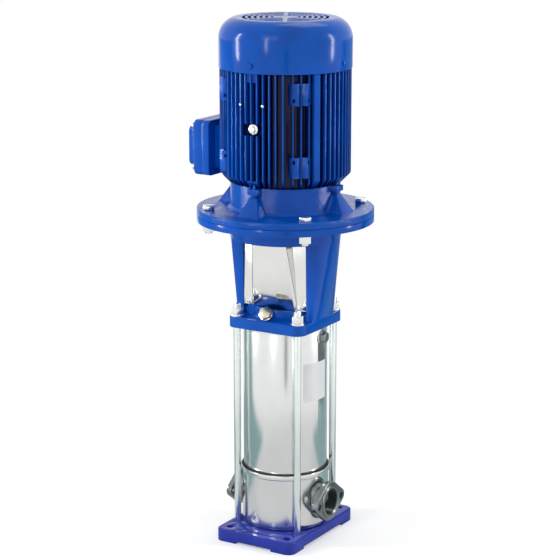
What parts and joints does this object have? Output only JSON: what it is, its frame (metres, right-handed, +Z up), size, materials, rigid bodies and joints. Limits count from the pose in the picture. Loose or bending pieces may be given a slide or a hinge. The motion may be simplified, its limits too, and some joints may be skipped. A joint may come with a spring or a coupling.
{
  "type": "vertical multistage pump",
  "caption": "Vertical multistage centrifugal pump with in-line threaded ports, a stainless sleeve held by tie rods, a lantern bracket and a flange-mounted electric motor.",
  "frame": {"origin": "centre of the base bolt pattern at the underside of the base plate, on the shaft axis", "axes": "+Z up along the shaft, +X out of the discharge port, -Y out of the front window"},
  "size_m": [0.314, 0.3, 0.897],
  "materials": {
    "base_paint": "gloss violet-blue paint",
    "blue_paint": "gloss blue paint",
    "rod_steel": "drawn bright",
    "zinc_steel": "zinc plated",
    "drawn_stainless": "satin",
    "port_stainless": "machined",
    "polished_stainless": "polished",
    "plug_brass": "nickel plated",
    "plug_steel": "machined",
    "stage_steel": "pressed",
    "shaft_steel": "ground",
    "bearing_steel": "hardened and ground",
    "ceramic": "lapped",
    "rubber": "moulded",
    "wear_plastic": "machined",
    "coupling_iron": "machined",
    "core_steel": "laminated",
    "copper": "enamelled wire",
    "fan_plastic": "moulded"
  },
  "bodies": {
    "pump": {"base_plate": "base_paint", "tie_rods": "rod_steel", "tie_rod_washers": "zinc_steel", "tie_rod_nuts": "zinc_steel", "lower_casing": "drawn_stainless", "suction_flange": "port_stainless", "discharge_flange": "port_stainless", "outer_sleeve": "drawn_stainless", "sleeve_seals": "rubber", "pump_head": "drawn_stainless", "casing_plugs": "plug_steel", "stage_bowl_1": "stage_steel", "stage_bowl_2": "stage_steel", "stage_bowl_3": "stage_steel", "stage_bowl_4": "stage_steel", "stage_bowl_5": "stage_steel", "wear_rings": "wear_plastic", "shaft_bushes": "ceramic", "seal_seat": "ceramic", "lantern_bracket": "blue_paint", "guard_front": "polished_stainless", "guard_rear": "polished_stainless", "guard_screws": "zinc_steel", "drive_shield": "blue_paint", "shield_screws": "blue_paint", "flange_bolts": "zinc_steel", "flange_nuts": "zinc_steel", "motor_frame": "blue_paint", "earth_screw": "zinc_steel", "stator_core": "core_steel", "stator_windings": "copper", "bearing_outer_rings": "bearing_steel", "rear_shield": "blue_paint", "fan_cover": "blue_paint", "fan_cover_screws": "zinc_steel", "terminal_box": "blue_paint", "terminal_lid": "blue_paint", "lid_screws": "zinc_steel", "terminal_board": "fan_plastic", "cable_plugs": "blue_paint"},
    "rotor": {"pump_shaft": "shaft_steel", "impeller_1": "stage_steel", "impeller_2": "stage_steel", "impeller_3": "stage_steel", "impeller_4": "stage_steel", "impeller_5": "stage_steel", "shaft_sleeves": "shaft_steel", "shaft_nut": "shaft_steel", "seal_ring": "ceramic", "seal_bellows": "rubber", "coupling_half_front": "coupling_iron", "coupling_half_rear": "coupling_iron", "coupling_screws": "zinc_steel", "motor_shaft": "shaft_steel", "rotor_core": "core_steel", "fan": "fan_plastic", "bearing_inner_rings": "bearing_steel"},
    "drive_balls": {"drive_bearing_balls": "bearing_steel"},
    "rear_balls": {"rear_bearing_balls": "bearing_steel"},
    "fill_plug": {"fill_plug": "plug_brass"}
  },
  "joints": [
    {"name": "shaft_spin", "type": "hinge", "parent": "pump", "child": "rotor", "pos_m": [0, 0, 0.4], "axis": [0, 0, 1], "continuous": true},
    {"name": "drive_bearing_roll", "type": "hinge", "parent": "pump", "child": "drive_balls", "pos_m": [0, 0, 0.598], "axis": [0, 0, 1], "continuous": true},
    {"name": "rear_bearing_roll", "type": "hinge", "parent": "pump", "child": "rear_balls", "pos_m": [0, 0, 0.826], "axis": [0, 0, 1], "continuous": true},
    {"name": "fill_plug_lift", "type": "slide", "parent": "pump", "child": "fill_plug", "axis": [0, -0.766, 0.6428], "range_m": [0, 0.03]}
  ],
  "couplings": [
    {"joint": "drive_bearing_roll", "follows": "shaft_spin", "ratio": 0.435},
    {"joint": "rear_bearing_roll", "follows": "shaft_spin", "ratio": 0.4489}
  ]
}
